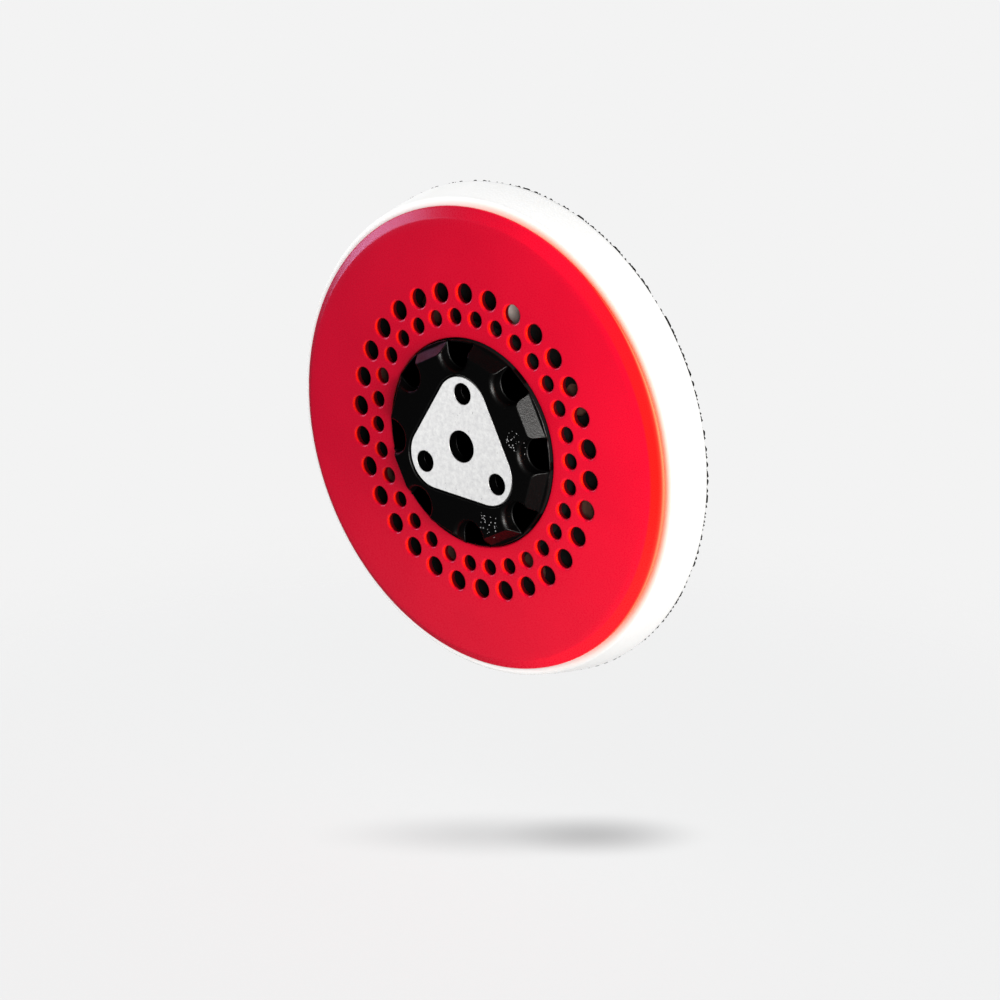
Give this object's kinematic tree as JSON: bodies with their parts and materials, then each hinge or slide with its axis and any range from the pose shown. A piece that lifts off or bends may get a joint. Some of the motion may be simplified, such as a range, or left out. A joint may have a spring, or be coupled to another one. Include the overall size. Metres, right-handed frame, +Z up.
{
  "type": "polisher backing plate",
  "caption": "Round hook-and-loop backing plate for a dual action polisher: vented red cover, black hub with a triangular metal drive plate, white foam and a hook face.",
  "frame": {"origin": "on the spin axis, at the drive plate's front face, where the tool's spindle seats", "axes": "Y is the spin axis: the drive side looks towards -Y and the hook face towards +Y. The plate stands on edge, as pictured, with +Z up and +X to the right seen from the drive side."},
  "size_m": [0.14, 0.024, 0.14],
  "materials": {
    "drive_plate_metal": "fine-blasted, matt",
    "black_nylon": "satin, glass-filled nylon",
    "washer_steel": "bright zinc plated",
    "red_plastic": "satin, finely textured",
    "black_fibre": "matt",
    "adhesive": "cured contact adhesive",
    "white_foam": "moulded polyurethane foam with a smooth skin",
    "black_hook": "woven hook tape"
  },
  "bodies": {
    "root": {"drive_plate": "drive_plate_metal", "hub": "black_nylon", "bolt_seat_washer": "washer_steel", "vented_cover": "red_plastic", "air_disc": "black_fibre", "foam_bonding_film": "adhesive", "foam_pad": "white_foam", "hook_bonding_film": "adhesive", "hook_sheet": "black_hook"}
  },
  "joints": []
}
